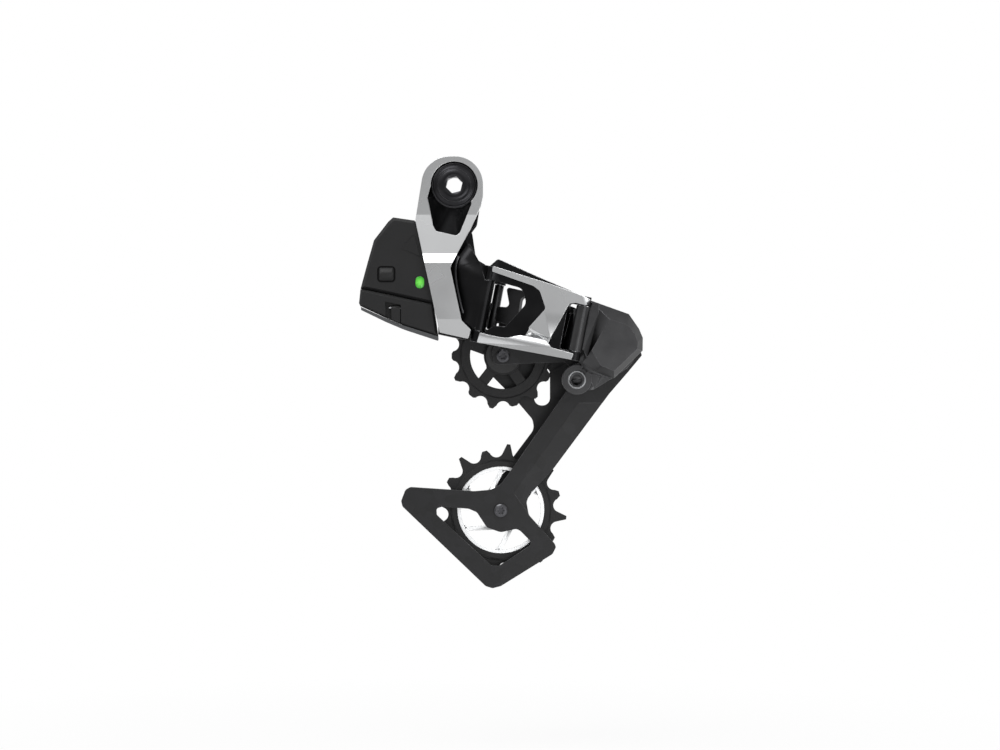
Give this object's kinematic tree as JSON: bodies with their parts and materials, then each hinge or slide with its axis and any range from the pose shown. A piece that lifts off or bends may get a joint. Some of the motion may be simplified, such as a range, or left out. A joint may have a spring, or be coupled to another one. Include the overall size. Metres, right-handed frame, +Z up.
{
  "type": "rear bicycle derailleur",
  "caption": "Electronic rear derailleur that clamps on the dropout: battery drive knuckle, leaning parallelogram, sprung long cage and two toothed pulleys.",
  "frame": {"origin": "on the hub axle's line, at the outer face of the dropout, which is the inner face of the outer arm", "axes": "+X to the bicycle's front, +Y inboard towards the wheel, +Z up"},
  "size_m": [0.1527, 0.0616, 0.2333],
  "materials": {
    "silver_aluminium": "satin anodised",
    "black_aluminium": "satin black anodised",
    "grey_aluminium": "satin dark grey anodised",
    "black_nylon": "moulded, satin",
    "grey_nylon": "moulded, satin",
    "carbon_plate": "matte moulded composite",
    "steel": "brushed",
    "black_steel": "black oxide",
    "circuit_board": "solder mask",
    "green_light": "clear moulded, green"
  },
  "bodies": {
    "frame_knuckle": {"outer_arm": "silver_aluminium", "arm_core": "black_aluminium", "mount_washer": "black_aluminium", "mount_bolt": "black_aluminium", "knuckle_casting": "black_aluminium", "gear_motor": "steel", "drive_housing": "black_nylon", "housing_cover": "black_nylon", "housing_screws": "steel", "circuit_board": "circuit_board", "indicator_light": "green_light", "inner_pin_near": "steel"},
    "control_button": {"control_button": "black_nylon"},
    "battery": {"battery": "black_nylon", "battery_skid": "grey_nylon", "latch_pin": "steel"},
    "battery_latch": {"battery_latch": "black_nylon"},
    "motor_pinion": {"motor_pinion": "steel"},
    "outer_link": {"outer_link": "silver_aluminium", "link_lining": "black_aluminium", "link_pin_near": "steel", "link_pin_far": "steel"},
    "inner_link": {"inner_link": "black_aluminium", "drive_sector": "steel"},
    "cage_knuckle": {"cage_knuckle": "grey_aluminium", "cage_spring": "steel", "inner_pin_far": "steel"},
    "cage_lock_button": {"cage_lock_button": "grey_aluminium"},
    "cage": {"cage_axle": "black_aluminium", "cage_clutch": "steel", "outer_cage_plate": "carbon_plate", "inner_cage_plate": "carbon_plate", "guide_pulley_bolt": "black_steel", "guide_pulley_sleeve": "steel", "guide_pulley_caps": "black_steel", "lower_pulley_bolt": "black_steel", "lower_pulley_sleeve": "steel", "lower_pulley_caps": "black_steel"},
    "guide_pulley": {"guide_pulley": "black_nylon", "guide_pulley_bearing": "steel"},
    "lower_spider": {"lower_pulley_spider": "silver_aluminium", "lower_pulley_bearing": "steel"},
    "lower_ring": {"lower_pulley_ring": "black_nylon"}
  },
  "joints": [
    {"name": "parallelogram_swing", "type": "hinge", "parent": "frame_knuckle", "child": "outer_link", "pos_m": [0.0157, -0.0102, -0.06435], "axis": [0.1908, 0, 0.9816], "range_deg": [0, 44]},
    {"name": "inner_link_swing", "type": "hinge", "parent": "frame_knuckle", "child": "inner_link", "pos_m": [0.02208, 0.0023, -0.06559], "axis": [0.1908, 0, 0.9816], "range_deg": [0, 44]},
    {"name": "cage_knuckle_turn", "type": "hinge", "parent": "outer_link", "child": "cage_knuckle", "pos_m": [0.06712, -0.03136, -0.07435], "axis": [0.1908, 0, 0.9816], "range_deg": [-44, 0]},
    {"name": "motor_spin", "type": "hinge", "parent": "frame_knuckle", "child": "motor_pinion", "pos_m": [0.00957, 0.0023, -0.06316], "axis": [0.1908, 0, 0.9816], "range_deg": [-106, 0]},
    {"name": "cage_pivot", "type": "hinge", "parent": "cage_knuckle", "child": "cage", "pos_m": [0.08132, 0, -0.08575], "axis": [0, -1, 0], "range_deg": [0, 95], "stiffness_Nm_per_rad": 0.8, "springref_deg": -57.3},
    {"name": "guide_pulley_spin", "type": "hinge", "parent": "cage", "child": "guide_pulley", "pos_m": [0.02622, 0.017, -0.09165], "axis": [0, 1, 0], "continuous": true},
    {"name": "lower_spider_spin", "type": "hinge", "parent": "cage", "child": "lower_spider", "pos_m": [0.02502, 0.017, -0.17565], "axis": [0, 1, 0], "continuous": true},
    {"name": "lower_ring_slip", "type": "hinge", "parent": "lower_spider", "child": "lower_ring", "pos_m": [0.02502, 0.017, -0.17565], "axis": [0, 1, 0], "continuous": true},
    {"name": "button_press", "type": "slide", "parent": "frame_knuckle", "child": "control_button", "axis": [0, 1, 0], "range_m": [0, 0.0006], "stiffness_N_per_m": 1500, "springref_m": -0.0006},
    {"name": "battery_release", "type": "slide", "parent": "frame_knuckle", "child": "battery", "axis": [-0.9783, 0, 0.2071], "range_m": [0, 0.045]},
    {"name": "latch_swing", "type": "hinge", "parent": "battery", "child": "battery_latch", "pos_m": [-0.0315, -0.0069, -0.066], "axis": [-1, 0, 0], "range_deg": [0, 35], "stiffness_Nm_per_rad": 0.02, "springref_deg": -17.19},
    {"name": "cage_lock", "type": "slide", "parent": "cage_knuckle", "child": "cage_lock_button", "axis": [0, 1, 0], "range_m": [0, 0.0018], "stiffness_N_per_m": 1500, "springref_m": -0.0008}
  ],
  "couplings": [
    {"joint": "inner_link_swing", "follows": "parallelogram_swing", "ratio": 1},
    {"joint": "cage_knuckle_turn", "follows": "parallelogram_swing", "ratio": -1},
    {"joint": "motor_spin", "follows": "parallelogram_swing", "ratio": -2.4}
  ]
}
